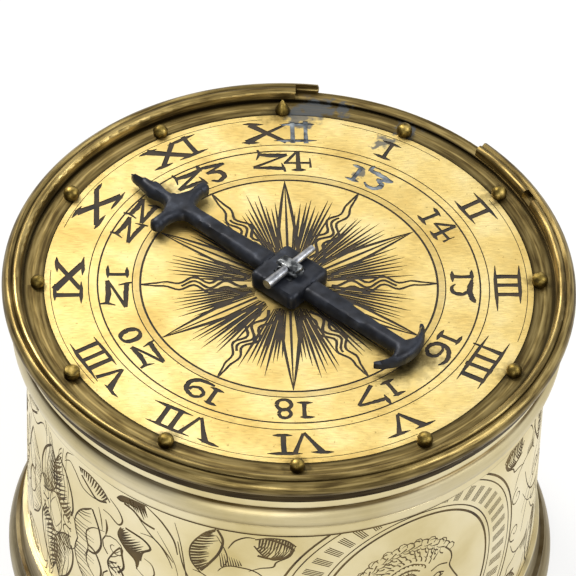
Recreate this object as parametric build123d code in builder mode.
from build123d import *
import math
import os

# Horizontal drum clock: a gilt brass drum with a twelve and twenty-four hour dial, one iron hand,
# twelve touch pins, and a verge and fusee movement hung under the dial. Millimetres, +Z up.
# XII is on +Y and III on +X. The origin is the middle of the foot, on the surface it stands on.

# Case sizes
dial_height = 52.0
drum_outer_r = 34.8
drum_wall_t = 1.4
drum_bottom_z = 3.0
drum_inner_r = drum_outer_r - drum_wall_t
joint_z = dial_height - 2.9
torus_r = drum_outer_r + 2.0
base_r = drum_outer_r + 2.6
foot_r = base_r - 0.9
base_top_z = 9.6
seat_inner_r = drum_inner_r - 1.4
seat_t = 0.6
recess_r = drum_inner_r + 0.2
hinge_pin_r = 0.5
knuckle_r = 1.0
knuckle_y = recess_r + 1.3
knuckle_z = 1.25
knuckle_half = 2.4
hinge_half = 6.2
notch_half = 7.0

# Dial end sizes
bezel_outer_r = drum_outer_r + 2.1
ledge_outer_r = bezel_outer_r - 1.7
ledge_inner_r = ledge_outer_r - 2.7
dial_r = ledge_inner_r - 0.1
dial_t = 1.0
bezel_crown = 0.3
skirt_t = 1.4
skirt_length = 4.0
rim_outer_r = bezel_outer_r + 1.1
rim_inner_r = ledge_outer_r + 0.2
rim_top = 1.5
rim_lip = 0.8
rim_break_start = 7.8
rim_break_end = 47.0
rim_tongue_start = 3.1
rim_tongue_t = 0.9
bead_loss_start = 63.5
bead_loss_end = 66.8
pin_circle_r = ledge_inner_r + 0.75
pin_r = 0.8
pin_height = 1.35
pointed_pin_height = 2.0

# Base cover sizes
cover_r = recess_r - 0.35
cover_t = 1.35
cover_outer_z = 1.0
catch_pivot_r = seat_inner_r - 4.6
catch_reach = seat_inner_r + 1.1 - catch_pivot_r
catch_t = 0.9
catch_w = 1.6
catch_button_r = 2.0
catch_boss_r = 1.7

# Movement sizes
plate_r = drum_inner_r - 2.0
top_plate_z = dial_height - 6.7
bottom_plate_z = 16.0
plate_t = 1.4
pillar_circle_r = plate_r - 3.4
pillar_bearings = (95, -5, -62, 205)
pillar_r = 1.7
pillar_flange_r = 2.6
pillar_tenon_r = 1.0
pillar_flange_t = 1.2
pillar_neck_t = 1.2
pillar_waist_r = 1.2
pillar_belly_r = 2.0
pillar_belt_r = 2.3
pillar_belt_half = 0.8
pillar_pin_half = 2.4
foot_bearings = (60, 180, 300)
foot_circle_r = plate_r - 9.4
foot_pin_r = 1.0
taper_pin_r = 0.4
foot_shoulder_r = 1.6
foot_solder_r = 2.2
screw_head_t = 0.9
screw_slot_w = 0.45
screw_slot_depth = 0.4
screw_r = 0.9
screw_head_r = 1.9
thin_pivot_r = 0.35
plate_pivot_r = 1.0
square_step = 0.4

# Train: teeth, modules and places
great_teeth = 60
great_module = 0.42
second_pinion_leaves = 10
second_teeth = 72
second_module = 0.26
hour_teeth = 72
hour_module = 0.30
contrate_teeth = 54
contrate_module = 0.30
pinion_leaves = 6
crown_teeth = 17
crown_r = 5.0
second_bearing = -20
fusee_bearing = 96
contrate_bearing = -134
barrel_bearing = 182.7
barrel_distance = 23.5
verge_distance = 16.55
great_wheel_z = 19.6
great_wheel_t = 1.6
second_wheel_z = top_plate_z - 6.3
wheel_t = 1.0
hour_wheel_z = dial_height - 3.3
hour_wheel_t = 0.9
crown_axis_z = 31.4
barrel_r = 12.0
barrel_wall_t = 0.9
barrel_z = 22.4
barrel_height = top_plate_z - barrel_z - 5.9
fusee_z = 23.0
fusee_height = 13.0
fusee_large_r = 9.6
fusee_small_r = 5.0
fusee_grooves = 8
groove_depth = 0.55
gut_r = 0.35
spring_turns = 5
spring_t = 0.5
ratchet_teeth = 12
ratchet_r = 5.0
ratchet_depth = 1.0
ratchet_t = 1.2
setup_ratchet_z = 14.3
click_bearing = 60
fusee_click_bearing = -150
square_across = 2.6
winding_square_end = 9.0

# Escapement
pallet_reach = 1.5
pallet_angle = 50
pallet_t = 0.35
pallet_width = 1.3
verge_r = 0.5
crown_tooth_plane = 15.4
crown_tooth_depth = 1.3
crown_rim_t = 0.7
crown_phase = 0.35
balance_r = 12.5
balance_rim_w = 1.6
balance_z = 11.2
balance_t = 1.1
cock_z = 8.2
cock_t = 1.3
cock_bearing = 42
cock_foot_gap = 3.6
cock_foot_r = 2.5
cock_end_r = 2.6
cock_neck_half = 1.6

# Hand
hand_bearing = 312.8
hand_gap = 0.9
hand_t = 1.5
boss_side = 7.5
boss_gap = 0.3
boss_t = 2.3
arbor_square = 3.0
arbor_end_height = 4.0
hand_tip_r = 28.2
shoulder_r = 24.2
shoulder_half = 1.0
blade_bevel = 1.4 / (hand_tip_r - shoulder_r)  # the longer the blade, the finer its bevel
neck_r = 21.3
neck_half = 0.75
cross_r = 19.2
cross_half = 4.9
cross_t = 1.7
stem_half_hub = 1.6
stem_half_end = 1.05
tail_r = 21.6
tail_horn_r = 19.0
tail_half = 4.7
tail_inner_r = 19.6
hand_pin_length = 9.2
hand_pin_thick_r = 0.68
hand_pin_thin_r = 0.5

# Clearances
pivot_gap = 0.05
bore_gap = 0.06
seat_gap = 0.1
slip_gap = 0.3

os.makedirs("parts", exist_ok=True)


def save(piece, label):
    piece.part.label = label
    export_step(piece.part, "parts/" + label + ".step")


def clock_point(bearing, radius):
    """A point on the dial, its bearing clockwise from XII."""
    turn = math.radians(90 - bearing)
    return (radius * math.cos(turn), radius * math.sin(turn))


def step_from(place, bearing, distance):
    """The point at a distance from a place, its bearing anticlockwise from +X."""
    turn = math.radians(bearing)
    return (place[0] + distance * math.cos(turn), place[1] + distance * math.sin(turn))


def bearing_plane(bearing):
    """An upright plane through the axis, its x running outward at a bearing clockwise from XII."""
    out = clock_point(bearing, 1)
    return Plane(origin=(0, 0, 0), x_dir=(*out, 0), z_dir=(out[1], -out[0], 0))


def level(place, height):
    return Plane((place[0], place[1], height))


def turned(place, stages, mode=Mode.ADD):
    """Round stages of a shaft, each from a low height to a high one at a radius."""
    for low, high, radius in stages:
        with BuildSketch(level(place, low)) as disc:
            Circle(radius)
        extrude(disc.sketch, amount=high - low, mode=mode)


def bored(place, low, high, radius):
    """A round hole through whatever lies between two heights."""
    turned(place, [(low, high, radius)], mode=Mode.SUBTRACT)


def toothed(teeth, root_r, tip_r, root_share, tip_share, phase):
    """Corners of a wheel with straight-flanked teeth, one tooth centred on the phase angle."""
    corners = []
    pitch = 360 / teeth
    for tooth in range(teeth):
        middle = phase + tooth * pitch
        for radius, offset in (
            (root_r, -root_share / 2),
            (tip_r, -tip_share / 2),
            (tip_r, tip_share / 2),
            (root_r, root_share / 2),
        ):
            corners.append(step_from((0, 0), middle + offset * pitch, radius))
    return corners


def wheel_teeth(teeth, module, phase):
    pitch_r = teeth * module / 2
    return toothed(teeth, pitch_r - 1.25 * module, pitch_r + 0.95 * module, 0.60, 0.18, phase)


def pinion_teeth(leaves, module, phase):
    pitch_r = leaves * module / 2
    return toothed(leaves, pitch_r - 1.35 * module, pitch_r + 0.6 * module, 0.42, 0.20, phase)


def toothed_disc(place, low, thickness, corners):
    with BuildSketch(level(place, low)) as blank:
        with BuildLine():
            Polyline(*corners, close=True)
        make_face()
    extrude(blank.sketch, amount=thickness)


def crossings(place, low, thickness, inner_r, outer_r, arms, arm_width, phase=0):
    """Opens the windows between a wheel's arms."""
    with BuildSketch(level(place, low)) as windows:
        Circle(outer_r)
        Circle(inner_r, mode=Mode.SUBTRACT)
        with PolarLocations(outer_r / 2, arms, start_angle=phase):
            Rectangle(outer_r, arm_width, mode=Mode.SUBTRACT)
    extrude(windows.sketch, amount=thickness, mode=Mode.SUBTRACT)


def meshed_phase(phase, teeth, mate_teeth, bearing):
    """The phase of a mate whose tooth gaps meet the first wheel's teeth on the line of centres."""
    part_tooth = ((phase - bearing) % (360 / teeth)) / (360 / teeth)
    mate_pitch = 360 / mate_teeth
    return bearing + 180 + (0.5 - part_tooth) * mate_pitch


def ratchet_corners(phase):
    """Saw teeth: a radial face at each step, then a slope down to the foot of the next one."""
    corners = []
    for tooth in range(ratchet_teeth):
        face = phase + tooth * 360 / ratchet_teeth
        corners.append(step_from((0, 0), face, ratchet_r - ratchet_depth))
        corners.append(step_from((0, 0), face, ratchet_r))
    return corners


def click_pivot(centre, bearing):
    return step_from(centre, bearing, 1.6 * ratchet_r)


def click_outline(centre, bearing):
    """A pivoted click whose nose lies in the ratchet's gap, 50 degrees on from its pivot."""
    nose = bearing + 50
    edge = (
        (1.80, -46),
        (1.40, -7),
        (0.86, -2.6),
        (1.06, -11),
        (1.24, -24),
        (1.42, -44),
    )
    return [step_from(centre, nose + turn, share * ratchet_r) for share, turn in edge]


# Heights and places worked out from the sizes above
dial_under_z = dial_height - dial_t
top_plate_top = top_plate_z + plate_t
bottom_plate_top = bottom_plate_z + plate_t
centre = (0, 0)
hour_distance = (hour_teeth + pinion_leaves) * hour_module / 2
great_distance = (great_teeth + second_pinion_leaves) * great_module / 2
second_distance = (second_teeth + pinion_leaves) * second_module / 2
contrate_pitch_r = contrate_teeth * contrate_module / 2
second_place = step_from(centre, second_bearing, hour_distance)
fusee_place = step_from(second_place, fusee_bearing, great_distance)
contrate_place = step_from(second_place, contrate_bearing, second_distance)
barrel_place = step_from(fusee_place, barrel_bearing, barrel_distance)
verge_place = step_from(contrate_place, 180, verge_distance)
crown_pinion_r = pinion_leaves * contrate_module / 2

# Tooth phases, starting at the second arbor
great_phase = meshed_phase(0, second_pinion_leaves, great_teeth, fusee_bearing)
hour_phase = meshed_phase(0, pinion_leaves, hour_teeth, second_bearing + 180)
contrate_pinion_phase = meshed_phase(0, second_teeth, pinion_leaves, contrate_bearing)

# Case: drum wall
with BuildPart() as drum_wall:
    with BuildSketch(Plane.XY.offset(drum_bottom_z)):
        Circle(drum_outer_r)
        Circle(drum_inner_r, mode=Mode.SUBTRACT)
    extrude(amount=joint_z - drum_bottom_z)
save(drum_wall, "drum_wall")

# Case: upper moulding, with a top fillet, a half-round torus and a lower fillet
fillet_r = torus_r - 0.5
lower_fillet_r = drum_outer_r + 0.75
torus_low = joint_z - 5.2
torus_high = joint_z - 2.1
with BuildPart() as upper_moulding:
    with BuildSketch(Plane.XZ):
        with BuildLine():
            Polyline(
                (torus_r - 0.6, torus_high),
                (fillet_r - 0.6, joint_z - 1.6),
                (fillet_r, joint_z - 1.4),
                (fillet_r, joint_z - 0.25),
                (fillet_r - 0.25, joint_z),
                (drum_outer_r, joint_z),
                (drum_outer_r, joint_z - 7.7),
                (lower_fillet_r, joint_z - 7.5),
                (lower_fillet_r, joint_z - 6.1),
                (lower_fillet_r - 0.3, joint_z - 5.8),
                (torus_r - 0.6, torus_low),
            )
            ThreePointArc(
                (torus_r - 0.6, torus_low),
                (torus_r, (torus_low + torus_high) / 2),
                (torus_r - 0.6, torus_high),
            )
        make_face()
    revolve(axis=Axis.Z)
save(upper_moulding, "upper_moulding")

# Case: base moulding, a cove over a torus on a foot, recessed inside for the hinged cover
seat_z = drum_bottom_z - seat_t
with BuildPart() as base_moulding:
    with BuildSketch(Plane.XZ):
        with BuildLine():
            Polyline(
                (base_r - 1.0, 5.3),
                (base_r - 1.0, 6.1),
                (base_r - 1.5, 6.1),
            )
            ThreePointArc(
                (base_r - 1.5, 6.1),
                (drum_outer_r + 0.55, 7.0),
                (drum_outer_r + 0.3, base_top_z - 0.8),
            )
            Polyline(
                (drum_outer_r + 0.3, base_top_z - 0.8),
                (drum_outer_r + 0.7, base_top_z - 0.8),
                (drum_outer_r + 0.7, base_top_z - 0.1),
                (drum_outer_r + 0.6, base_top_z),
                (drum_outer_r, base_top_z),
                (drum_outer_r, drum_bottom_z),
                (seat_inner_r, drum_bottom_z),
                (seat_inner_r, seat_z),
                (recess_r, seat_z),
                (recess_r, 0),
                (foot_r, 0),
                (foot_r + 0.2, 0.2),
                (foot_r + 0.2, 1.1),
                (base_r - 1.0, 1.3),
            )
            ThreePointArc((base_r - 1.0, 1.3), (base_r, 3.3), (base_r - 1.0, 5.3))
        make_face()
    revolve(axis=Axis.Z)
    with BuildSketch(Plane.XY) as hinge_notch:
        with Locations((0, seat_inner_r + 3)):
            Rectangle(2 * notch_half, 6)
    extrude(hinge_notch.sketch, amount=seat_z, mode=Mode.SUBTRACT)
    for side in (-1, 1):
        ear_middle = side * (knuckle_half + hinge_half + slip_gap) / 2
        with BuildSketch(Plane.YZ.offset(ear_middle)) as ear:
            with Locations((knuckle_y, knuckle_z)):
                Circle(knuckle_r)
            with Locations((knuckle_y, (knuckle_z + seat_z) / 2)):
                Rectangle(2 * knuckle_r, seat_z - knuckle_z)
            with Locations((knuckle_y, knuckle_z)):
                Circle(hinge_pin_r, mode=Mode.SUBTRACT)
        extrude(ear.sketch, amount=(hinge_half - knuckle_half - slip_gap) / 2, both=True)
save(base_moulding, "base_moulding")

with BuildPart() as cover_hinge_pin:
    with BuildSketch(Plane.YZ.offset(-hinge_half)):
        with Locations((knuckle_y, knuckle_z)):
            Circle(hinge_pin_r)
    extrude(amount=2 * hinge_half)
save(cover_hinge_pin, "cover_hinge_pin")

# Base cover: a lightly stepped disc with its knuckle, and the hole of the catch's rivet
cover_top_z = cover_outer_z + cover_t
catch_place = (0, -catch_pivot_r)
catch_pivot = 1.0
with BuildPart() as base_cover:
    with BuildSketch(Plane.XY.offset(cover_outer_z)) as cover_disc:
        Circle(cover_r)
        with Locations((0, cover_r)):
            Rectangle(2 * knuckle_half, 2 * (knuckle_y - cover_r))
    extrude(cover_disc.sketch, amount=cover_t)
    with BuildSketch(Plane.YZ.offset(-knuckle_half)) as knuckle:
        with Locations((knuckle_y, knuckle_z)):
            Circle(knuckle_r)
    extrude(knuckle.sketch, amount=2 * knuckle_half)
    with BuildSketch(Plane.YZ.offset(-knuckle_half)) as pin_hole:
        with Locations((knuckle_y, knuckle_z)):
            Circle(hinge_pin_r + pivot_gap)
    extrude(pin_hole.sketch, amount=2 * knuckle_half, mode=Mode.SUBTRACT)
    for ring_r in (catch_pivot_r - 6, catch_pivot_r - 7):
        with BuildSketch(Plane.XY.offset(cover_outer_z)) as turned_ring:
            Circle(ring_r)
            Circle(ring_r - 0.4, mode=Mode.SUBTRACT)
        extrude(turned_ring.sketch, amount=0.2, mode=Mode.SUBTRACT)
    bored(catch_place, cover_outer_z, cover_top_z, catch_pivot + pivot_gap)
save(base_cover, "base_cover")

# Catch of the cover: a button outside, a tongue inside, shown turned to its open place
tongue_z = drum_bottom_z + seat_gap
catch_button_z = 0.25
with BuildPart() as cover_catch:
    turned(
        catch_place,
        [
            (catch_button_z, cover_outer_z - pivot_gap, catch_button_r),
            (catch_button_z, tongue_z, catch_pivot),
            (cover_top_z + pivot_gap, tongue_z, catch_boss_r),
        ],
    )
    with BuildSketch(level(catch_place, tongue_z)) as tongue:
        Circle(catch_boss_r)
        with Locations(((catch_reach - catch_w / 2) / 2, 0)):
            SlotOverall(catch_reach + catch_w / 2, catch_w)
    extrude(tongue.sketch, amount=catch_t)
save(cover_catch, "cover_catch")

# Bezel: ledge with its wall, dial seat and the skirt that goes into the drum
with BuildPart() as bezel_ring:
    with BuildSketch(Plane.XZ):
        with BuildLine():
            Polyline(
                (ledge_outer_r, dial_height + bezel_crown),
                (ledge_outer_r, dial_height),
                (ledge_inner_r, dial_height),
                (ledge_inner_r, dial_under_z),
                (ledge_inner_r - 1.6, dial_under_z),
                (ledge_inner_r - 1.6, dial_under_z - 1.0),
                (drum_inner_r - seat_gap - skirt_t, dial_under_z - 1.9),
                (drum_inner_r - seat_gap - skirt_t, joint_z - skirt_length),
                (drum_inner_r - seat_gap, joint_z - skirt_length),
                (drum_inner_r - seat_gap, joint_z),
                (drum_outer_r, joint_z),
                (drum_outer_r, joint_z + slip_gap),
                (bezel_outer_r, joint_z + slip_gap),
                (bezel_outer_r, dial_height + bezel_crown),
                (ledge_outer_r, dial_height + bezel_crown),
            )
        make_face()
    revolve(axis=Axis.Z)
save(bezel_ring, "bezel_ring")

# Rim: the moulded strip round the bezel's top, broken away between XII and II. Its end at XII is a
# tongue of the outer moulding alone, and a piece of the inner bead is gone near II
rim_base_z = dial_height + bezel_crown
rim_top_z = dial_height + rim_top
rim_waist_r = (rim_inner_r + rim_outer_r) / 2
tongue_r = rim_waist_r + 0.4
rim_losses = (
    (rim_inner_r - 0.5, tongue_r, dial_height - 1, rim_top_z + 1, rim_tongue_start, rim_break_start + 1),
    (
        rim_inner_r - 0.5,
        rim_outer_r + 1,
        dial_height - 1,
        rim_top_z - rim_tongue_t,
        rim_tongue_start,
        rim_break_start + 1,
    ),
    (
        rim_inner_r - 0.5,
        rim_waist_r - 0.1,
        rim_base_z + 0.3,
        rim_top_z + 1,
        bead_loss_start,
        bead_loss_end,
    ),
)
with BuildPart() as rim_moulding:
    with BuildSketch(bearing_plane(rim_break_start)):
        with BuildLine():
            Polyline(
                (rim_inner_r + 0.15, rim_top_z - 0.55),
                (rim_inner_r, rim_base_z),
                (bezel_outer_r + pivot_gap, rim_base_z),
                (bezel_outer_r + pivot_gap, dial_height - rim_lip),
                (rim_outer_r - 0.45, dial_height - rim_lip),
            )
            ThreePointArc(
                (rim_outer_r - 0.45, dial_height - rim_lip),
                (rim_outer_r, rim_top_z - 1.1),
                (rim_waist_r + 0.45, rim_top_z - 0.1),
            )
            Polyline(
                (rim_waist_r + 0.45, rim_top_z - 0.1),
                (rim_waist_r, rim_top_z - 0.4),
            )
            ThreePointArc(
                (rim_waist_r, rim_top_z - 0.4),
                ((rim_inner_r + rim_waist_r) / 2, rim_top_z),
                (rim_inner_r + 0.15, rim_top_z - 0.55),
            )
        make_face()
    revolve(axis=Axis.Z, revolution_arc=360 - (rim_break_end - rim_break_start))
    for low_r, high_r, low_z, high_z, start, end in rim_losses:
        with BuildSketch(bearing_plane(end)) as loss:
            with Locations(((low_r + high_r) / 2, (low_z + high_z) / 2)):
                Rectangle(high_r - low_r, high_z - low_z)
        revolve(loss.sketch, axis=Axis.Z, revolution_arc=end - start, mode=Mode.SUBTRACT)
save(rim_moulding, "rim_moulding")

# Dial plate and the feet that carry the movement
arbor_r = 1.5
with BuildPart() as dial_plate:
    with BuildSketch(Plane.XY.offset(dial_under_z)):
        Circle(dial_r)
        Circle(arbor_square / math.sqrt(2) + seat_gap, mode=Mode.SUBTRACT)
    extrude(amount=dial_t)
save(dial_plate, "dial_plate")

foot_places = [step_from(centre, bearing, foot_circle_r) for bearing in foot_bearings]
foot_solder_t = 0.8
foot_end_z = top_plate_z - 1.8
foot_pin_half = 2.6
foot_pin_z = top_plate_z - taper_pin_r - seat_gap
with BuildPart() as dial_feet:
    for place in foot_places:
        turned(
            place,
            [
                (foot_end_z, top_plate_top, foot_pin_r),
                (top_plate_top, dial_under_z - foot_solder_t, foot_shoulder_r),
                (dial_under_z - foot_solder_t, dial_under_z, foot_solder_r),
            ],
        )
        with BuildSketch(Plane.YZ.offset(place[0])) as cross_hole:
            with Locations((place[1], foot_pin_z)):
                Circle(taper_pin_r)
        extrude(cross_hole.sketch, amount=foot_pin_half, both=True, mode=Mode.SUBTRACT)
save(dial_feet, "dial_feet")

with BuildPart() as dial_foot_pins:
    for place in foot_places:
        with BuildSketch(Plane.YZ.offset(place[0])) as pin_end:
            with Locations((place[1], foot_pin_z)):
                Circle(taper_pin_r)
        extrude(pin_end.sketch, amount=foot_pin_half, both=True)
save(dial_foot_pins, "dial_foot_pins")

# Touch pins round the dial, pointed at XII and blunt elsewhere
with BuildPart() as touch_pins:
    for hour in range(12):
        place = clock_point(30 * hour, pin_circle_r)
        if hour == 0:
            straight, top_r, height = 0.5, 0.15, pointed_pin_height
        else:
            straight, top_r, height = pin_height - 0.45, pin_r * 0.5, pin_height
        turned(place, [(dial_height, dial_height + straight, pin_r)])
        with BuildSketch(level(place, dial_height + straight)) as pin_low:
            Circle(pin_r)
        with BuildSketch(level(place, dial_height + height)) as pin_high:
            Circle(top_r)
        loft([pin_low.sketch.face(), pin_high.sketch.face()])
save(touch_pins, "touch_pins")

# Movement plates, bored for every arbor
barrel_arbor_r = 1.6
fusee_arbor_r = 1.6
second_arbor_r = 1.0
contrate_arbor_r = 0.9
pivot_r = 0.6
pillar_places = [step_from(centre, bearing, pillar_circle_r) for bearing in pillar_bearings]
lug_bearings = (-30, 150)
dog_pivot_r = plate_r - 4.4
dog_places = [step_from(centre, bearing, dog_pivot_r) for bearing in lug_bearings]
cock_span = balance_r + cock_foot_gap
cock_screw_place = step_from(verge_place, cock_bearing, cock_span)
click_screw_r = 0.6
with BuildPart() as top_plate:
    with BuildSketch(Plane.XY.offset(top_plate_z)):
        Circle(plate_r)
    extrude(amount=plate_t)
    bored(centre, top_plate_z, top_plate_top, arbor_r - 0.3 + pivot_gap)
    bored(second_place, top_plate_z, top_plate_top, second_arbor_r + pivot_gap)
    bored(contrate_place, top_plate_z, top_plate_top, pivot_r + pivot_gap)
    bored(fusee_place, top_plate_z, top_plate_top, plate_pivot_r + pivot_gap)
    bored(barrel_place, top_plate_z, top_plate_top, plate_pivot_r + pivot_gap)
    bored(verge_place, top_plate_z, top_plate_top, thin_pivot_r + pivot_gap)
    for place in pillar_places:
        bored(place, top_plate_z, top_plate_top, pillar_tenon_r)
    for place in foot_places:
        bored(place, top_plate_z, top_plate_top, foot_pin_r)
save(top_plate, "top_plate")

with BuildPart() as bottom_plate:
    with BuildSketch(Plane.XY.offset(bottom_plate_z)):
        Circle(plate_r)
    extrude(amount=plate_t)
    bored(second_place, bottom_plate_z, bottom_plate_top, pivot_r + pivot_gap)
    bored(contrate_place, bottom_plate_z, bottom_plate_top, pivot_r + pivot_gap)
    bored(fusee_place, bottom_plate_z, bottom_plate_top, fusee_arbor_r + pivot_gap)
    bored(barrel_place, bottom_plate_z, bottom_plate_top, barrel_arbor_r + pivot_gap)
    bored(verge_place, bottom_plate_z, bottom_plate_top, verge_r + 0.5)
    bored(cock_screw_place, bottom_plate_z, bottom_plate_top, screw_r)
    bored(click_pivot(barrel_place, click_bearing), bottom_plate_z, bottom_plate_top, click_screw_r)
    for place in dog_places:
        bored(place, bottom_plate_z, bottom_plate_top, screw_r)
    for place in pillar_places:
        bored(place, bottom_plate_z, bottom_plate_top, pillar_tenon_r)
save(bottom_plate, "bottom_plate")

# Pillars: turned balusters with a flange at each end, pinned over the top plate
pillar_low = bottom_plate_top
pillar_high = top_plate_z
pillar_middle = (pillar_low + pillar_high) / 2
shaft_low = pillar_low + pillar_flange_t + pillar_neck_t
shaft_high = pillar_high - pillar_flange_t - pillar_neck_t
tenon_top = top_plate_top + 1.5
tenon_pin_z = top_plate_top + taper_pin_r + seat_gap
with BuildPart() as pillars:
    for place in pillar_places:
        turned(
            place,
            [
                (bottom_plate_z, pillar_low, pillar_tenon_r),
                (pillar_low, pillar_low + pillar_flange_t, pillar_flange_r),
                (pillar_low + pillar_flange_t, shaft_low, pillar_r),
                (shaft_high, pillar_high - pillar_flange_t, pillar_r),
                (pillar_high - pillar_flange_t, pillar_high, pillar_flange_r),
                (pillar_high, tenon_top, pillar_tenon_r),
                (pillar_middle - pillar_belt_half, pillar_middle + pillar_belt_half, pillar_belt_r),
            ],
        )
        for end in (shaft_low, shaft_high):
            with BuildSketch(level(place, end)) as thin_end:
                Circle(pillar_waist_r)
            with BuildSketch(level(place, pillar_middle)) as thick_end:
                Circle(pillar_belly_r)
            loft([thin_end.sketch.face(), thick_end.sketch.face()])
        with BuildSketch(Plane.YZ.offset(place[0])) as cross_hole:
            with Locations((place[1], tenon_pin_z)):
                Circle(taper_pin_r)
        extrude(cross_hole.sketch, amount=pillar_pin_half, both=True, mode=Mode.SUBTRACT)
save(pillars, "pillars")

with BuildPart() as pillar_pins:
    for place in pillar_places:
        with BuildSketch(Plane.YZ.offset(place[0])) as pin_end:
            with Locations((place[1], tenon_pin_z)):
                Circle(taper_pin_r)
        extrude(pin_end.sketch, amount=pillar_pin_half, both=True)
save(pillar_pins, "pillar_pins")

# Lugs soldered inside the drum, and the turning dogs that hold the movement down under them
lug_z = bottom_plate_z - 0.3
lug_t = 1.5
lug_inner_r = plate_r + 0.4
with BuildPart() as case_lugs:
    with BuildSketch(Plane.XY.offset(lug_z)) as lugs:
        Circle(drum_inner_r)
        Circle(lug_inner_r, mode=Mode.SUBTRACT)
        for bearing in lug_bearings:
            with PolarLocations(lug_inner_r, 1, start_angle=bearing + 90):
                Rectangle(4 * drum_inner_r, 2 * lug_inner_r - 8, mode=Mode.SUBTRACT)
    lug_faces = lugs.sketch.faces()
    extrude(lug_faces, amount=lug_t)
save(case_lugs, "case_lugs")

dog_t = 1.2
dog_z = lug_z - seat_gap - dog_t
dog_reach = drum_inner_r - dog_pivot_r - 0.5
dog_names = ("case_dog_front", "case_dog_rear")
for name, place, bearing in zip(dog_names, dog_places, lug_bearings):
    with BuildPart() as case_dog:
        with BuildSketch(Plane((place[0], place[1], dog_z), x_dir=(*step_from(centre, bearing, 1), 0))):
            Circle(2.2)
            with Locations((dog_reach / 2, 0)):
                Rectangle(dog_reach, 3.0)
        extrude(amount=dog_t)
        turned(place, [(dog_z, bottom_plate_z - pivot_gap, 2.2)])
        bored(place, dog_z, bottom_plate_z, screw_r + pivot_gap)
    save(case_dog, name)

with BuildPart() as dog_screws:
    for place in dog_places:
        turned(
            place,
            [
                (dog_z - pivot_gap - screw_head_t, dog_z - pivot_gap, screw_head_r),
                (dog_z - pivot_gap, bottom_plate_top, screw_r),
            ],
        )
        with BuildSketch(level(place, dog_z - pivot_gap - screw_head_t)) as screw_slot:
            Rectangle(3 * screw_head_r, screw_slot_w)
        extrude(screw_slot.sketch, amount=screw_slot_depth, mode=Mode.SUBTRACT)
save(dog_screws, "dog_screws")

# Great wheel with its click, which drives the fusee through the ratchet
with BuildPart() as great_wheel:
    toothed_disc(
        fusee_place, great_wheel_z, great_wheel_t, wheel_teeth(great_teeth, great_module, great_phase)
    )
    bored(fusee_place, great_wheel_z, great_wheel_z + great_wheel_t, fusee_arbor_r + bore_gap)
    bored(
        click_pivot(fusee_place, fusee_click_bearing),
        great_wheel_z,
        great_wheel_z + great_wheel_t,
        click_screw_r,
    )
save(great_wheel, "great_wheel")

click_names = ("fusee_click", "setup_click")
click_centres = (fusee_place, barrel_place)
click_bearings = (fusee_click_bearing, click_bearing)
fusee_ratchet_z = great_wheel_z + great_wheel_t + seat_gap
click_levels = (fusee_ratchet_z, setup_ratchet_z)
click_t = ratchet_t - 0.2
for name, hub, bearing, low in zip(click_names, click_centres, click_bearings, click_levels):
    pivot = click_pivot(hub, bearing)
    with BuildPart() as click:
        with BuildSketch(Plane.XY.offset(low + 0.1)) as click_shape:
            with BuildLine():
                Polyline(*click_outline(hub, bearing), close=True)
            make_face()
            with Locations(pivot):
                Circle(1.25)
        extrude(click_shape.sketch, amount=click_t)
        bored(pivot, low, low + ratchet_t, click_screw_r + pivot_gap)
    save(click, name)

screw_names = ("fusee_click_screw", "setup_click_screw")
screw_roots = (great_wheel_z, bottom_plate_top)
screw_heads = (fusee_ratchet_z + ratchet_t, setup_ratchet_z)
for name, hub, bearing, root, head in zip(
    screw_names, click_centres, click_bearings, screw_roots, screw_heads
):
    pivot = click_pivot(hub, bearing)
    toward_head = 1 if head > root else -1
    low, high = min(root, head), max(root, head)
    head_low, head_high = sorted((head, head + toward_head * 0.5))
    with BuildPart() as click_screw:
        turned(pivot, [(low, high, click_screw_r), (head_low, head_high, click_screw_r + 0.5)])
    save(click_screw, name)

# Fusee: arbor with the winding square, ratchet and the grooved cone
fusee_top_z = fusee_z + fusee_height
with BuildPart() as fusee_arbor:
    turned(
        fusee_place,
        [
            (bottom_plate_z - square_step, top_plate_z - 1.0, fusee_arbor_r),
            (top_plate_z - 1.0, top_plate_top, plate_pivot_r),
        ],
    )
    with BuildSketch(level(fusee_place, winding_square_end)) as winding_square:
        Rectangle(square_across, square_across)
    extrude(winding_square.sketch, amount=bottom_plate_z - square_step - winding_square_end)
    chamfer(fusee_arbor.faces().sort_by(Axis.Z)[0].edges(), 0.3)
save(fusee_arbor, "fusee_arbor")

with BuildPart() as fusee_ratchet:
    toothed_disc(fusee_place, fusee_ratchet_z, ratchet_t, ratchet_corners(fusee_click_bearing + 50))
    bored(fusee_place, fusee_ratchet_z, fusee_ratchet_z + ratchet_t, fusee_arbor_r)
save(fusee_ratchet, "fusee_ratchet")

groove_pitch = (fusee_height - 1.6) / fusee_grooves


def fusee_radius(height):
    """Radius of the cone's crests, falling faster near the large end."""
    share = height / fusee_height
    return fusee_large_r + (fusee_small_r - fusee_large_r) * (1.35 * share - 0.35 * share**2)


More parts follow.
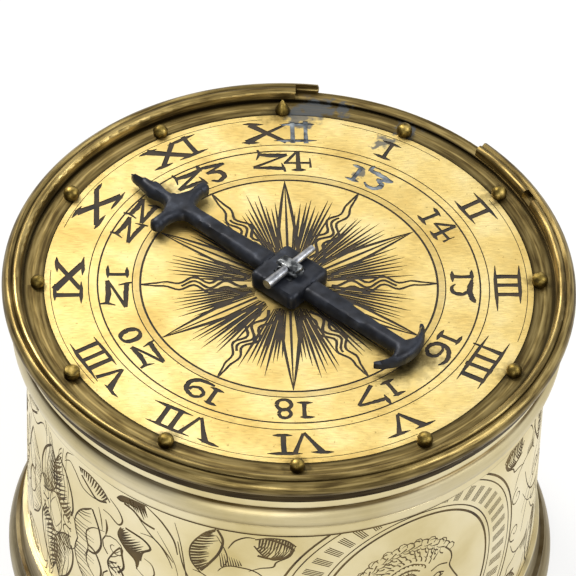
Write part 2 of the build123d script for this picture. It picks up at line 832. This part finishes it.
with BuildPart() as fusee_cone:
    fusee_plane = Plane((fusee_place[0], fusee_place[1], fusee_z), x_dir=(1, 0, 0), z_dir=(0, -1, 0))
    fusee_profile = [(fusee_arbor_r, 0), (fusee_large_r + 0.4, 0), (fusee_large_r + 0.4, 0.8)]
    for groove in range(fusee_grooves):
        crest = 0.8 + groove * groove_pitch
        fusee_profile.append((fusee_radius(crest), crest))
        trough = crest + groove_pitch / 2
        fusee_profile.append((fusee_radius(trough) - groove_depth, trough))
    fusee_profile += [
        (fusee_small_r, fusee_height - 0.8),
        (fusee_small_r, fusee_height),
        (fusee_arbor_r, fusee_height),
    ]
    with BuildSketch(fusee_plane):
        with BuildLine():
            Polyline(*fusee_profile, close=True)
        make_face()
    revolve(axis=Axis((fusee_place[0], fusee_place[1], 0), (0, 0, 1)))
    turned(fusee_place, [(fusee_ratchet_z + ratchet_t, fusee_z, 3.2)])
    bored(fusee_place, fusee_ratchet_z + ratchet_t, fusee_z, fusee_arbor_r)
save(fusee_cone, "fusee_cone")

# Barrel with its cap, mainspring, arbor and set-up ratchet
barrel_inner_r = barrel_r - barrel_wall_t
barrel_top_z = barrel_z + barrel_height
cap_t = 1.0
with BuildPart() as barrel:
    turned(barrel_place, [(barrel_z, barrel_top_z - cap_t, barrel_r)])
    bored(barrel_place, barrel_z + 1.0, barrel_top_z - cap_t, barrel_inner_r)
    bored(barrel_place, barrel_z, barrel_z + 1.0, barrel_arbor_r + bore_gap)
save(barrel, "barrel")

with BuildPart() as barrel_cap:
    turned(barrel_place, [(barrel_top_z - cap_t, barrel_top_z, barrel_r)])
    bored(barrel_place, barrel_top_z - cap_t, barrel_top_z, barrel_arbor_r + bore_gap)
save(barrel_cap, "barrel_cap")

core_r = 3.0
with BuildPart() as barrel_arbor:
    turned(
        barrel_place,
        [
            (bottom_plate_z - square_step, top_plate_z - 1.0, barrel_arbor_r),
            (barrel_z + 1.3, barrel_top_z - cap_t - 0.3, core_r),
            (top_plate_z - 1.0, top_plate_top, plate_pivot_r),
        ],
    )
    with BuildSketch(level(barrel_place, setup_ratchet_z - 2.6)) as setup_square:
        Rectangle(square_across, square_across)
    extrude(setup_square.sketch, amount=bottom_plate_z - square_step - setup_ratchet_z + 2.6)
save(barrel_arbor, "barrel_arbor")

with BuildPart() as setup_ratchet:
    toothed_disc(barrel_place, setup_ratchet_z, ratchet_t, ratchet_corners(click_bearing + 50))
    with BuildSketch(level(barrel_place, setup_ratchet_z)) as ratchet_square:
        Rectangle(square_across, square_across)
    extrude(ratchet_square.sketch, amount=ratchet_t, mode=Mode.SUBTRACT)
save(setup_ratchet, "setup_ratchet")

spring_inner_r = core_r + 0.5
spring_outer_r = barrel_inner_r - 0.3
spring_step = (spring_outer_r - spring_inner_r - spring_t) / (2 * spring_turns)
spring_low = barrel_z + 1.5
spring_high = barrel_top_z - cap_t - 0.5
with BuildPart() as mainspring:
    with BuildSketch(level(barrel_place, spring_low)):
        with BuildLine():
            for edge_r in (spring_inner_r, spring_inner_r + spring_t):
                for half in range(2 * spring_turns):
                    start_x = (-1) ** half * (edge_r + half * spring_step)
                    end_x = -((-1) ** half) * (edge_r + (half + 1) * spring_step)
                    ThreePointArc(
                        (start_x, 0),
                        ((start_x + end_x) / 2, (-1) ** half * abs(end_x - start_x) / 2),
                        (end_x, 0),
                    )
            last_r = spring_inner_r + 2 * spring_turns * spring_step
            Line((last_r, 0), (last_r + spring_t, 0))
            Line((spring_inner_r, 0), (spring_inner_r + spring_t, 0))
        make_face()
    extrude(amount=spring_high - spring_low)
save(mainspring, "mainspring")

# Gut line, from a lap on the barrel across the outer tangent to a groove of the fusee
line_groove = fusee_grooves // 2
line_height = 0.8 + (line_groove + 0.5) * groove_pitch
line_z = fusee_z + line_height
fusee_lap_r = fusee_radius(line_height) - groove_depth + 2.1 * gut_r
barrel_lap_r = barrel_r + gut_r + seat_gap
line_of_centres = barrel_bearing + 180
tangent_turn = math.degrees(math.acos((barrel_lap_r - fusee_lap_r) / barrel_distance))
tangent_bearing = line_of_centres + tangent_turn
lap_turn = 150
barrel_lap_start = step_from(barrel_place, tangent_bearing + lap_turn, barrel_lap_r)
barrel_lap_middle = step_from(barrel_place, tangent_bearing + lap_turn / 2, barrel_lap_r)
barrel_leave = step_from(barrel_place, tangent_bearing, barrel_lap_r)
fusee_arrive = step_from(fusee_place, tangent_bearing, fusee_lap_r)
fusee_lap_middle = step_from(fusee_place, tangent_bearing - lap_turn / 2, fusee_lap_r)
fusee_lap_end = step_from(fusee_place, tangent_bearing - lap_turn, fusee_lap_r)
with BuildPart() as gut_line:
    with BuildLine(Plane.XY.offset(line_z)) as route:
        ThreePointArc(barrel_lap_start, barrel_lap_middle, barrel_leave)
        Line(barrel_leave, fusee_arrive)
        ThreePointArc(fusee_arrive, fusee_lap_middle, fusee_lap_end)
    with BuildSketch(Plane(route.line @ 0, z_dir=route.line % 0)):
        Circle(gut_r)
    sweep(path=route.line)
save(gut_line, "gut_line")

# Second arbor: pinion from the great wheel, second wheel, and the hour pinion over the top plate
second_pinion_z = great_wheel_z - 0.6
second_pinion_top = great_wheel_z + great_wheel_t + 0.6
hour_pinion_z = hour_wheel_z - 0.3
with BuildPart() as second_arbor:
    turned(
        second_place,
        [
            (bottom_plate_z, second_pinion_z - 0.6, pivot_r),
            (second_pinion_z - 0.6, second_pinion_z, second_arbor_r),
            (second_pinion_top, hour_pinion_z, second_arbor_r),
            (second_wheel_z - 0.6, second_wheel_z, 2.0),
        ],
    )
    toothed_disc(
        second_place,
        second_pinion_z,
        second_pinion_top - second_pinion_z,
        pinion_teeth(second_pinion_leaves, great_module, 0),
    )
    toothed_disc(
        second_place, hour_pinion_z, hour_wheel_t + 0.6, pinion_teeth(pinion_leaves, hour_module, 0)
    )
save(second_arbor, "second_arbor")

with BuildPart() as second_wheel:
    toothed_disc(
        second_place, second_wheel_z, wheel_t, wheel_teeth(second_teeth, second_module, 0)
    )
    crossings(second_place, second_wheel_z, wheel_t, 2.6, 8.0, 4, 1.3, phase=20)
    bored(second_place, second_wheel_z, second_wheel_z + wheel_t, second_arbor_r)
save(second_wheel, "second_wheel")

# Contrate arbor and wheel, whose teeth stand up to meet the crown wheel's pinion
contrate_pitch_z = crown_axis_z - crown_pinion_r
contrate_root_z = contrate_pitch_z - 1.25 * contrate_module
contrate_tip_z = contrate_pitch_z + 0.95 * contrate_module
contrate_wheel_z = contrate_root_z - 2.4
contrate_tooth_t = 0.9
contrate_pinion_z = second_wheel_z - 0.6
contrate_pinion_top = second_wheel_z + wheel_t + 0.6
with BuildPart() as contrate_arbor:
    turned(
        contrate_place,
        [
            (bottom_plate_z, bottom_plate_top + 0.4, pivot_r),
            (bottom_plate_top + 0.4, contrate_pinion_z, contrate_arbor_r),
            (contrate_pinion_top, top_plate_z - 0.4, contrate_arbor_r),
            (top_plate_z - 0.4, top_plate_top, pivot_r),
        ],
    )
    toothed_disc(
        contrate_place,
        contrate_pinion_z,
        contrate_pinion_top - contrate_pinion_z,
        pinion_teeth(pinion_leaves, second_module, contrate_pinion_phase),
    )
save(contrate_arbor, "contrate_arbor")

tooth_pitch = math.pi * contrate_module
with BuildPart() as contrate_wheel:
    turned(contrate_place, [(contrate_wheel_z, contrate_root_z, contrate_pitch_r + 0.5)])
    bored(contrate_place, contrate_wheel_z + 0.9, contrate_root_z, contrate_pitch_r - 0.5)
    turned(contrate_place, [(contrate_wheel_z, contrate_wheel_z + 2 * wheel_t, 2.2)])
    crossings(contrate_place, contrate_wheel_z, 0.9, 2.8, 6.6, 4, 1.2, phase=45)
    bored(contrate_place, contrate_wheel_z, contrate_root_z, contrate_arbor_r)
    for tooth in range(contrate_teeth):
        bearing = 180 + tooth * 360 / contrate_teeth
        outward = step_from(centre, bearing, 1)
        tooth_plane = Plane(
            (
                *step_from(contrate_place, bearing, contrate_pitch_r - contrate_tooth_t / 2),
                contrate_root_z,
            ),
            x_dir=(-outward[1], outward[0], 0),
            z_dir=(*outward, 0),
        )
        with BuildSketch(tooth_plane) as tooth_shape:
            with BuildLine():
                Polyline(
                    (-0.28 * tooth_pitch, -0.05),
                    (0.28 * tooth_pitch, -0.05),
                    (0.28 * tooth_pitch, 0),
                    (0.09 * tooth_pitch, contrate_tip_z - contrate_root_z),
                    (-0.09 * tooth_pitch, contrate_tip_z - contrate_root_z),
                    (-0.28 * tooth_pitch, 0),
                    close=True,
                )
            make_face()
        extrude(tooth_shape.sketch, amount=contrate_tooth_t)
save(contrate_wheel, "contrate_wheel")

# Crown wheel on its lying arbor, which points from the contrate wheel to the verge
crown_y = contrate_place[1]


def along_crown(distance):
    """A plane square to the crown arbor, at a distance from the contrate wheel's axis."""
    return Plane(
        (contrate_place[0] - distance, crown_y, crown_axis_z), x_dir=(0, -1, 0), z_dir=(-1, 0, 0)
    )


def lathe_along(stages):
    for near, far, radius in stages:
        with BuildSketch(along_crown(near)) as disc:
            Circle(radius)
        extrude(disc.sketch, amount=far - near)


crown_arbor_r = 0.8
rear_pivot = 4.0
crown_web = 11.4
crown_rim_edge = crown_tooth_plane - crown_tooth_depth
nose_start = crown_web + 2.2
crown_pinion_near = contrate_pitch_r - 1.3
crown_pinion_far = contrate_pitch_r + 1.3
with BuildPart() as crown_arbor:
    lathe_along(
        [
            (rear_pivot, 5.6, thin_pivot_r),
            (5.6, crown_pinion_near, crown_arbor_r),
            (crown_pinion_far, nose_start - 0.3, crown_arbor_r),
            (nose_start - 0.3, nose_start + 1.0, thin_pivot_r),
        ]
    )
    with BuildSketch(along_crown(crown_pinion_near)) as leaves:
        with BuildLine():
            Polyline(*pinion_teeth(pinion_leaves, contrate_module, 0), close=True)
        make_face()
    extrude(leaves.sketch, amount=crown_pinion_far - crown_pinion_near)
save(crown_arbor, "crown_arbor")

crown_pitch = 2 * math.pi * crown_r / crown_teeth
with BuildPart() as crown_wheel:
    with BuildSketch(along_crown(crown_web)) as crown_disc:
        Circle(crown_r + crown_rim_t / 2)
    extrude(crown_disc.sketch, amount=0.8)
    with BuildSketch(along_crown(crown_web)) as crown_rim:
        Circle(crown_r + crown_rim_t / 2)
        Circle(crown_r - crown_rim_t / 2, mode=Mode.SUBTRACT)
    extrude(crown_rim.sketch, amount=crown_rim_edge - crown_web)
    with BuildSketch(along_crown(crown_web)) as crown_windows:
        Circle(crown_r - 1.1)
        Circle(1.7, mode=Mode.SUBTRACT)
        with PolarLocations(crown_r / 2, 3, start_angle=90):
            Rectangle(crown_r, 1.0, mode=Mode.SUBTRACT)
        Circle(crown_arbor_r)
    extrude(crown_windows.sketch, amount=0.8, mode=Mode.SUBTRACT)
    for tooth in range(crown_teeth):
        bearing = math.radians(90 + (tooth + crown_phase) * 360 / crown_teeth)
        radial = (0, math.cos(bearing), math.sin(bearing))
        tangent = (0, -math.sin(bearing), math.cos(bearing))
        inner = crown_r - crown_rim_t / 2 + 0.05
        saw_plane = Plane(
            (
                contrate_place[0] - crown_rim_edge,
                crown_y + inner * radial[1],
                crown_axis_z + inner * radial[2],
            ),
            x_dir=tangent,
            z_dir=radial,
        )
        with BuildSketch(saw_plane) as saw_tooth:
            with BuildLine():
                Polyline(
                    (-0.40 * crown_pitch, 0.1),
                    (0.22 * crown_pitch, 0.1),
                    (0.16 * crown_pitch, -crown_tooth_depth),
                    (0.08 * crown_pitch, -crown_tooth_depth),
                    close=True,
                )
            make_face()
        extrude(saw_tooth.sketch, amount=crown_rim_t - 0.1)
save(crown_wheel, "crown_wheel")

# Potences: the front one forks round the verge, the rear one hangs from the top plate
nose_r = 2.6
fork_half = 1.4
potence_near = verge_distance + 1.9
potence_far = potence_near + 3.0
with BuildPart() as front_potence:
    with BuildSketch(along_crown(nose_start)) as nose:
        Circle(nose_r)
    extrude(nose.sketch, amount=potence_near - nose_start)
    with BuildSketch(along_crown(potence_near)) as block:
        Circle(nose_r)
        with Locations((0, (bottom_plate_top - crown_axis_z) / 2)):
            Rectangle(2 * nose_r, crown_axis_z - bottom_plate_top)
    extrude(block.sketch, amount=potence_far - potence_near)
    with BuildSketch(level(verge_place, crown_axis_z - 2 * nose_r)) as fork:
        with Locations((-0.25, 0)):
            Rectangle(2.7, 2 * fork_half)
    extrude(fork.sketch, amount=4 * nose_r, mode=Mode.SUBTRACT)
    with BuildSketch(along_crown(nose_start)) as nose_hole:
        Circle(thin_pivot_r + pivot_gap)
    extrude(nose_hole.sketch, amount=1.3, mode=Mode.SUBTRACT)
save(front_potence, "front_potence")

with BuildPart() as rear_potence:
    with BuildSketch(along_crown(3.7)) as hanger:
        Circle(1.5)
        with Locations((0, (top_plate_z - crown_axis_z) / 2)):
            Rectangle(3.0, top_plate_z - crown_axis_z)
        Circle(thin_pivot_r + pivot_gap, mode=Mode.SUBTRACT)
    extrude(hanger.sketch, amount=1.6)
    with BuildSketch(level((contrate_place[0] - 4.5, crown_y), top_plate_z - 1.4)) as hanger_foot:
        Rectangle(1.6, 6.0)
    extrude(hanger_foot.sketch, amount=1.4)
save(rear_potence, "rear_potence")

# Verge with its two pallets, and the balance under the bottom plate
verge_end_z = cock_z + 0.2
verge_low_z = cock_z + cock_t + 0.4
with BuildPart() as verge:
    turned(
        verge_place,
        [
            (verge_end_z, verge_low_z, thin_pivot_r),
            (verge_low_z, top_plate_z - 0.4, verge_r),
            (top_plate_z - 0.4, top_plate_top, thin_pivot_r),
            (balance_z - 0.5, balance_z, 1.3),
        ],
    )
    for side in (-1, 1):
        low = crown_axis_z + side * crown_r - pallet_width / 2
        turn = math.radians(side * pallet_angle)
        pallet_plane = Plane(
            (verge_place[0], verge_place[1], low), x_dir=(math.cos(turn), math.sin(turn), 0)
        )
        with BuildSketch(pallet_plane) as pallet:
            with Locations((pallet_reach / 2, 0)):
                Rectangle(pallet_reach, pallet_t)
        extrude(pallet.sketch, amount=pallet_width)
save(verge, "verge")

with BuildPart() as balance_wheel:
    with BuildSketch(level(verge_place, balance_z)) as balance_ring:
        Circle(balance_r)
        Circle(balance_r - balance_rim_w, mode=Mode.SUBTRACT)
        Circle(1.9)
        Rectangle(2 * balance_r - 1, 1.5)
        Circle(verge_r, mode=Mode.SUBTRACT)
    extrude(balance_ring.sketch, amount=balance_t)
save(balance_wheel, "balance_wheel")

with BuildPart() as balance_cock:
    cock_dir = (*step_from(centre, cock_bearing, 1), 0)
    with BuildSketch(Plane((verge_place[0], verge_place[1], cock_z), x_dir=cock_dir)) as cock_arm:
        Circle(cock_end_r)
        with BuildLine():
            Polyline(
                (0, -cock_neck_half),
                (cock_span, -cock_foot_r),
                (cock_span, cock_foot_r),
                (0, cock_neck_half),
                close=True,
            )
        make_face()
    extrude(cock_arm.sketch, amount=cock_t)
    with BuildSketch(level(cock_screw_place, cock_z)) as cock_foot:
        Circle(cock_foot_r)
    extrude(cock_foot.sketch, amount=bottom_plate_z - cock_z)
    bored(verge_place, cock_z, cock_z + cock_t, thin_pivot_r + pivot_gap)
    bored(cock_screw_place, cock_z, bottom_plate_z, screw_r)
save(balance_cock, "balance_cock")

with BuildPart() as cock_screw:
    turned(
        cock_screw_place,
        [(cock_z - screw_head_t, cock_z, screw_head_r), (cock_z, bottom_plate_top, screw_r)],
    )
    with BuildSketch(level(cock_screw_place, cock_z - screw_head_t)) as cock_slot:
        Rectangle(3 * screw_head_r, screw_slot_w)
    extrude(cock_slot.sketch, amount=screw_slot_depth, mode=Mode.SUBTRACT)
save(cock_screw, "cock_screw")

# Motion: hour wheel, its friction spring, the hand's arbor
arbor_collar_z = top_plate_top + 0.3
arbor_collar_t = 0.7
hand_square_z = hour_wheel_z + hour_wheel_t + 0.3
with BuildPart() as hour_wheel:
    toothed_disc(
        centre, hour_wheel_z, hour_wheel_t, wheel_teeth(hour_teeth, hour_module, hour_phase)
    )
    crossings(centre, hour_wheel_z, hour_wheel_t, 3.2, 9.4, 4, 1.6, phase=45)
    bored(centre, hour_wheel_z, hour_wheel_z + hour_wheel_t, arbor_r + pivot_gap)
save(hour_wheel, "hour_wheel")

spring_low_z = arbor_collar_z + arbor_collar_t
spring_disc_t = 0.35
with BuildPart() as friction_spring:
    turned(centre, [(spring_low_z, spring_low_z + spring_disc_t, 2.6)])
    with BuildSketch(Plane.XY.offset(spring_low_z)) as spring_star:
        for arm in range(3):
            with PolarLocations(3.4, 1, start_angle=120 * arm):
                Rectangle(3.2, 1.4)
    extrude(spring_star.sketch, amount=spring_disc_t)
    bored(centre, spring_low_z, spring_low_z + spring_disc_t, arbor_r)
save(friction_spring, "friction_spring")

boss_z = dial_height + boss_gap
hand_plane = Plane((0, 0, 0), x_dir=(*clock_point(hand_bearing, 1), 0))
arbor_end_z = dial_height + arbor_end_height

# Taper pin over the boss, thicker at the end away from VIII
hand_pin_z = boss_z + boss_t + hand_pin_thick_r + 0.02
across = hand_plane.y_dir * (hand_pin_length / 2)
with BuildPart() as hand_pin:
    for end, end_r in ((-1, hand_pin_thin_r), (1, hand_pin_thick_r)):
        with BuildSketch(
            Plane(
                (end * across.X, end * across.Y, hand_pin_z),
                x_dir=(0, 0, 1),
                z_dir=hand_plane.y_dir,
            )
        ):
            Circle(end_r)
    loft()
save(hand_pin, "hand_pin")

with BuildPart() as hand_arbor:
    turned(
        centre,
        [
            (top_plate_z, arbor_collar_z, arbor_r - 0.3),
            (arbor_collar_z, arbor_collar_z + arbor_collar_t, 2.5),
            (arbor_collar_z + arbor_collar_t, hand_square_z, arbor_r),
        ],
    )
    with BuildSketch(hand_plane.offset(hand_square_z)) as hand_square:
        Rectangle(arbor_square, arbor_square)
        chamfer(hand_square.vertices(), 0.3)
    extrude(hand_square.sketch, amount=arbor_end_z - hand_square_z)
    chamfer(hand_arbor.faces().sort_by(Axis.Z)[-1].edges(), 0.3)
    add(hand_pin.part, mode=Mode.SUBTRACT)
save(hand_arbor, "hand_arbor")

# Hand: square boss, tapered stem, cross-armed spear head and crescent tail
arm_z = dial_height + hand_gap
with BuildPart() as hand:
    with BuildSketch(hand_plane.offset(arm_z)) as hand_outline:
        with BuildLine():
            Polyline(
                (cross_r - 0.4, stem_half_end),
                (0, stem_half_hub),
                (0, -stem_half_hub),
                (cross_r - 0.4, -stem_half_end),
            )
            for side in (-1, 1):
                ThreePointArc(
                    (cross_r - 0.4, side * stem_half_end),
                    (cross_r - 0.65, side * (stem_half_end + 1.2)),
                    (cross_r - cross_t / 2, side * cross_half),
                )
                ThreePointArc(
                    (cross_r - cross_t / 2, side * cross_half),
                    (cross_r + 0.2, side * (cross_half + 0.55)),
                    (cross_r + cross_t / 2 + 0.25, side * (cross_half - 0.1)),
                )
                ThreePointArc(
                    (cross_r + cross_t / 2 + 0.25, side * (cross_half - 0.1)),
                    (cross_r + 1.15, side * 1.9),
                    (neck_r + 0.2, side * neck_half),
                )
                ThreePointArc(
                    (neck_r + 0.2, side * neck_half),
                    (shoulder_r - 1.3, side * (neck_half - 0.02)),
                    (shoulder_r, side * shoulder_half),
                )
                Line(
                    (shoulder_r, side * shoulder_half),
                    (hand_tip_r - 0.35, side * 0.32),
                )
            ThreePointArc(
                (hand_tip_r - 0.35, 0.32),
                (hand_tip_r, 0),
                (hand_tip_r - 0.35, -0.32),
            )
        make_face()
        with BuildLine():
            Polyline(
                (0, stem_half_hub),
                (-tail_inner_r, stem_half_end),
            )
            ThreePointArc(
                (-tail_inner_r, stem_half_end),
                (-tail_inner_r + 0.15, stem_half_end + 1.6),
                (-tail_horn_r + 0.35, tail_half - 0.2),
            )
            ThreePointArc(
                (-tail_horn_r + 0.35, tail_half - 0.2),
                (-tail_horn_r + 0.1, tail_half + 0.15),
                (-tail_horn_r - 0.35, tail_half),
            )
            ThreePointArc(
                (-tail_horn_r - 0.35, tail_half),
                (-tail_r, 0),
                (-tail_horn_r - 0.35, -tail_half),
            )
            ThreePointArc(
                (-tail_horn_r - 0.35, -tail_half),
                (-tail_horn_r + 0.1, -tail_half - 0.15),
                (-tail_horn_r + 0.35, -tail_half + 0.2),
            )
            ThreePointArc(
                (-tail_horn_r + 0.35, -tail_half + 0.2),
                (-tail_inner_r + 0.15, -stem_half_end - 1.6),
                (-tail_inner_r, -stem_half_end),
            )
            Polyline(
                (-tail_inner_r, -stem_half_end),
                (0, -stem_half_hub),
                (0, stem_half_hub),
            )
        make_face()
    extrude(hand_outline.sketch, amount=hand_t)
    chamfer(hand.faces().sort_by(Axis.Z)[-1].edges().filter_by(GeomType.LINE), blade_bevel)
    with BuildSketch(hand_plane.offset(boss_z)) as boss:
        Rectangle(boss_side, boss_side)
        chamfer(boss.vertices(), 0.6)
    extrude(boss.sketch, amount=boss_t)
    with BuildSketch(hand_plane.offset(boss_z)) as boss_hole:
        Rectangle(arbor_square, arbor_square)
        chamfer(boss_hole.vertices(), 0.3)
    extrude(boss_hole.sketch, amount=boss_t, mode=Mode.SUBTRACT)
save(hand, "hand")
